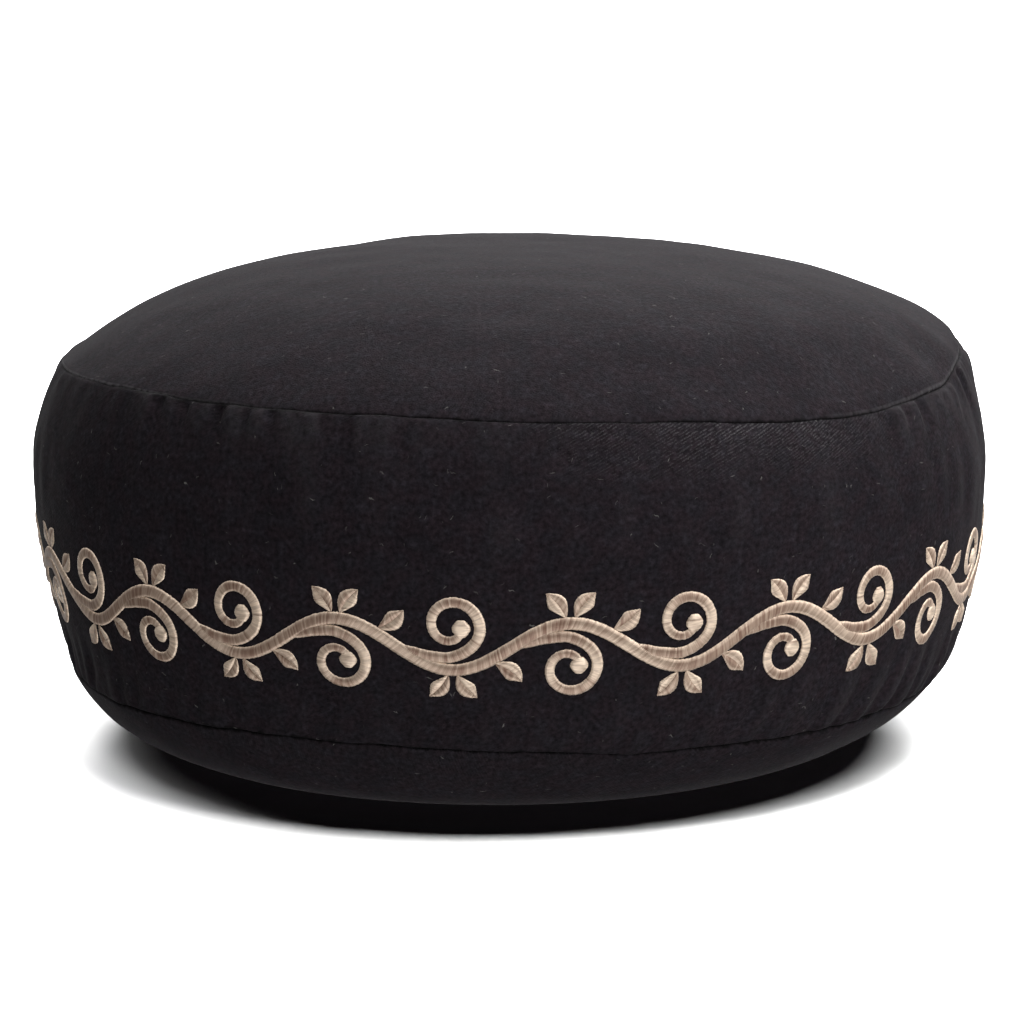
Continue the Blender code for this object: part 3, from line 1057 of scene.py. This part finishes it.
# The thread's colour runs from the dark end, which also carries its painted shade, to the pale
# end
THREAD_PALE = (1.0, 0.82, 0.64, 1.0)
THREAD_DARK = (0.20, 0.11, 0.075, 1.0)
THREAD_FIBRES = (7000.0, 500.0, 1.0)
THREAD_BUNDLES = (1300.0, 160.0, 1.0)
BUNDLE_TONES = ((0.38, 0.62), (0.58, 1.0))
FIBRE_TONE = (0.5, 0.75)
FIBRE_HEIGHT = 0.00008
FIBRE_BUMP = 0.4
THREAD_FINISH = {
    "Metallic": 0.35,
    "Roughness": 0.42,
    "Anisotropic": 0.9,
    "Sheen Weight": 0.25,
    "Sheen Roughness": 0.3,
}


def twill_ribs(nodes, place, angle_deg):
    """The twill's diagonal ribs: 1 on a rib, and less along the stretches that are faint."""
    along_rib = nodes.mapped(place, -math.radians(angle_deg))
    phase = nodes.product(nodes.axis(along_rib, "Y"), 2 * math.pi / TWILL_PITCH)
    phase = nodes.math("ADD", phase, nodes.grain(place, *RIB_WOBBLE))
    rib = nodes.math("MULTIPLY_ADD", nodes.math("SINE", phase), 0.5, 0.5)
    stretches = nodes.noise(nodes.mapped(along_rib, scale=RIB_STRETCHES), 1.0)
    return nodes.product(rib, nodes.ramp(stretches, STRETCHES_SHOW))


def seam_shade(nodes, place):
    """Painted shade down in a seam, broken up by noise along it."""
    share = nodes.product(nodes.attribute("from_seam"), 1 / SEAM_SHADE_WIDTH)
    share = nodes.math("ADD", share, nodes.grain(place, *SEAM_SHADE_BREAKUP))
    return nodes.ramp(share, SEAM_PAINTED_SHADE)


def lint_fibres(nodes, place):
    """Where a short fibre of lint lies on the cloth."""
    bend = nodes.noise(place, LINT_BENDS, output="Color")
    inputs = {0: bend, 1: LINT_BEND, 2: place}
    bent = nodes.add("VectorMath", inputs, operation="MULTIPLY_ADD").outputs[0]
    fibres = None
    for turn_deg, long_mm, wide_mm, size in LINT_FIBRES:
        room = (1 / (long_mm * MM), 1 / (wide_mm * MM), 1.0)
        laid = nodes.mapped(bent, math.radians(turn_deg), room)
        cells = nodes.add("TexVoronoi", {"Vector": laid, "Scale": 1.0})
        lies = nodes.ramp(cells.outputs["Distance"], ((size * LINT_CORE, 1.0), (size, 0.0)))
        lies = nodes.product(lies, nodes.ramp(cells.outputs["Color"], LINT_CHANCE))
        fibres = lies if fibres is None else nodes.math("MAXIMUM", fibres, lies)
    return fibres


def rib_paleness_and_sheen(nodes, place, shows):
    """How pale the ribs are painted: by one share all over, as a pattern, or for the strip as a
    painted sheen under its top seam.
    """
    nap = nodes.patchy(place, *NAP)
    if shows != "painted_sheen_below_seam":
        return nodes.product(nap, shows)
    up = nodes.product(nodes.axis(place, "Y"), 1 / STRIP_WIDTH)
    along_strip = nodes.product(nodes.axis(place, "X"), 1 / GIRTH)
    return nodes.product(nap, nodes.ramp(up, PAINTED_SHEEN_UP), nodes.ramp(along_strip, PAINTED_SHEEN_ROUND))


def dye_and_seam_shade(nodes, place):
    """The dye: uneven, fuzzy, here warmer and there cooler, with painted shade down in the seams.
    """
    fuzz = nodes.product(nodes.grain(place, *FUZZ), nodes.patchy(place, *CLUMPS))
    shade = nodes.product(nodes.grain(place, *DYE), fuzz, seam_shade(nodes, place))
    black = nodes.mix(nodes.patchy(place, *HUES), WARM_BLACK, COOL_BLACK)
    return nodes.mix(1.0, black, shade, "MULTIPLY")


def twill_material(name, angle_deg, relief, shows):
    """Black cotton twill. Its ribs stand up by a share of their full height, and show pale in
    its dye by a share, or on the strip as a painted sheen under its top seam."""
    nodes = Nodes(name)
    place = nodes.uv("cloth")
    ribs = twill_ribs(nodes, place, angle_deg)
    yarn = nodes.product(nodes.noise(place, *YARN), YARN_HEIGHT)
    height = nodes.math("ADD", nodes.product(ribs, relief), yarn)
    normal = nodes.bump(height, TWILL_BUMP, RIB_HEIGHT)

    # Pale ribs: a pattern on the panels, and on the strip a painted sheen under its top seam
    pale = nodes.product(ribs, rib_paleness_and_sheen(nodes, place, shows), nodes.patchy(place, *FLECKS))
    pale = nodes.product(pale, RIBS_SHOW)
    # Paleness painted at points: a highlight on the top panel's rolled edge, and partly worn,
    # partly painted highlight on the strip's fold crests
    wear_and_highlight = nodes.product(nodes.attribute("wear_and_highlight"), nodes.patchy(place, *WEAR_AND_HIGHLIGHT_PATCHES))
    pale = nodes.math("MAXIMUM", pale, wear_and_highlight)
    colour = nodes.mix(pale, dye_and_seam_shade(nodes, place), PALE_RIBS_AND_HIGHLIGHT)
    colour = nodes.mix(lint_fibres(nodes, place), colour, LINT)
    return nodes.finish({"Base Color": colour, "Normal": normal, **CLOTH_FINISH})


def thread_material():
    """Champagne satin thread: each thread has its own lightness with painted shade and sheen, and
    fine fibres run along it.
    """
    nodes = Nodes("champagne_satin_thread")
    stitch = nodes.uv("stitch")
    fibre = nodes.noise(nodes.mapped(stitch, scale=THREAD_FIBRES), 1.0, 3.0)
    bundle = nodes.noise(nodes.mapped(stitch, scale=THREAD_BUNDLES), 1.0)
    fibre_tone = nodes.math("MULTIPLY_ADD", fibre, *FIBRE_TONE)
    shade = nodes.product(nodes.attribute("tone_and_shade"), fibre_tone, nodes.ramp(bundle, BUNDLE_TONES))
    colour = nodes.mix(shade, THREAD_DARK, THREAD_PALE)
    normal = nodes.bump(fibre, FIBRE_BUMP, FIBRE_HEIGHT)
    tangent = nodes.add("Tangent", {}, direction_type="UV_MAP", uv_map="stitch")
    inputs = {"Base Color": colour, "Normal": normal, "Tangent": tangent.outputs[0]}
    return nodes.finish({**inputs, **THREAD_FINISH})


def paper_material():
    finish = {"Base Color": PAPER_COLOUR, "Roughness": 1.0, "Specular IOR Level": 0.0}
    return Nodes("white_paper").finish(finish)


# The camera, the lights and the floor

def add_camera():
    camera = new_object("camera", bpy.data.cameras.new("camera"))
    camera.data.sensor_width = SENSOR_WIDTH
    camera.data.lens = LENS
    camera.location = (CAMERA_ASIDE, -CAMERA_DISTANCE, CAMERA_HEIGHT)
    camera.rotation_euler = (math.pi / 2 - CAMERA_TILT, 0, 0)
    bpy.context.scene.camera = camera


def add_light(name, azimuth_deg, elevation_deg, width_deg, strength):
    """A light as even as a large far softbox, from a direction that may be below the floor."""
    turn, lift = math.radians(azimuth_deg), math.radians(elevation_deg)
    source = (math.sin(turn) * math.cos(lift), -math.cos(turn) * math.cos(lift), math.sin(lift))
    data = bpy.data.lights.new(name, "SUN")
    data.angle = math.radians(width_deg)
    data.energy = strength
    light = new_object(name, data)
    light.rotation_euler = Vector(source).to_track_quat("Z", "Y").to_euler()
    return light


def light_only(light, receivers):
    """Let a light fall on these objects alone. Anything still shades them from it."""
    lit = bpy.data.collections.new("lit_by_" + light.name)
    for receiver in receivers:
        lit.objects.link(receiver)
    light.light_linking.receiver_collection = lit


def add_world():
    """White where the camera sees it, and no light of its own."""
    world = bpy.data.worlds.new("studio")
    world.use_nodes = True
    bpy.context.scene.world = world
    tree = world.node_tree
    backdrop = tree.nodes["Background"]
    backdrop.inputs["Color"].default_value = (1.0, 1.0, 1.0, 1.0)
    path = tree.nodes.new("ShaderNodeLightPath")
    tree.links.new(path.outputs["Is Camera Ray"], backdrop.inputs["Strength"])


def add_paper():
    """The floor. It neither shades nor lights the cushion, so light may come up through it."""
    mesh = bpy.data.meshes.new("floor_paper")
    square = ((-1, -1), (1, -1), (1, 1), (-1, 1))
    corners = [(x * FLOOR_HALF, y * FLOOR_HALF, 0.0) for x, y in square]
    mesh.from_pydata(corners, [], [(0, 1, 2, 3)])
    paper = new_piece("floor_paper", mesh, paper_material())
    paper.visible_diffuse = False
    paper.visible_glossy = False
    paper.visible_shadow = False
    return paper


def add_studio(pieces):
    """White paper that burns out beyond the shadow, and softer light on the cushion."""
    bpy.context.scene.view_settings.view_transform = "Standard"
    add_world()
    paper = add_paper()
    for row in PAPER_LIGHTS:
        light_only(add_light("paper_light", *row), [paper])
    for row in PIECE_LIGHTS:
        light_only(add_light("softbox", *row), pieces)


def centred(grids):
    """Grids moved together, so that the box of their points stands over the origin."""
    low = np.min([grid.reshape(-1, 3).min(axis=0) for grid in grids], axis=0)
    high = np.max([grid.reshape(-1, 3).max(axis=0) for grid in grids], axis=0)
    shift = (low + high) / 2 * (1, 1, 0)
    return [grid - shift for grid in grids]


def add_cushion():
    """The strip and the two panels, with the strip's points and rows for the embroidery."""
    strip, v, wear_and_highlight = strip_grid()
    crown_outline = panel_outline(TOP_SEAM_RADIUS, crown_height)
    base_outline = panel_outline(BASE_SEAM_RADIUS, base_height)
    crown, crown_flat, crown_rows = panel_grid(crown_outline, top=True)
    base, base_flat, base_rows = panel_grid(base_outline, top=False)
    strip, crown, base = centred([strip, crown, base])
    base[..., 2] = np.maximum(base[..., 2], 0.0)
    crown, crown_flat, crown_rows = crown[::-1], crown_flat[::-1], crown_rows[::-1]

    strip_twill = twill_material("black_twill_strip", STRIP_TWILL_DEG, STRIP_RELIEF, "painted_sheen_below_seam")
    panel_twill = twill_material(
        "black_twill_panels", PANEL_TWILL_DEG, PANEL_RELIEF, PANEL_RIBS_SHOW
    )
    from_seam = np.minimum(v, v[-1] - v)
    unpainted_base = np.zeros(base.shape[:2])
    parts = (
        (strip_twill, "side_strip", strip, strip_uv(v), from_seam, wear_and_highlight, None),
        (panel_twill, "top_panel", crown, crown_flat, crown_rows, edge_highlight(crown_rows), -1),
        (panel_twill, "base_panel", base, base_flat, base_rows, unpainted_base, 0),
    )
    pieces = []
    for twill, name, *grid in parts:
        piece = new_piece(name, round_grid_mesh(name, *grid), twill)
        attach(piece, BODY)
        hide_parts("cushion")
        pieces.append(piece)
    return pieces, strip, v


def add_embroidery(strip, v_rows):
    """The scroll border, sewn through the strip all the way round."""
    draws = np.random.default_rng(EMBROIDERY_SEED)
    thread = thread_material()
    pieces = []
    parts = (
        ("embroidery_stem", stem_patches(draws)),
        ("embroidery_tendrils", tendril_patches(draws)),
        ("embroidery_leaves", leaf_patches(draws)),
    )
    for name, patches in parts:
        piece = new_piece(name, patches_mesh(name, patches, strip, v_rows), thread)
        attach(piece, BODY)
        pieces.append(piece)
    return pieces


add_camera()
cloth, strip, v_rows = add_cushion()
add_studio(cloth + add_embroidery(strip, v_rows))
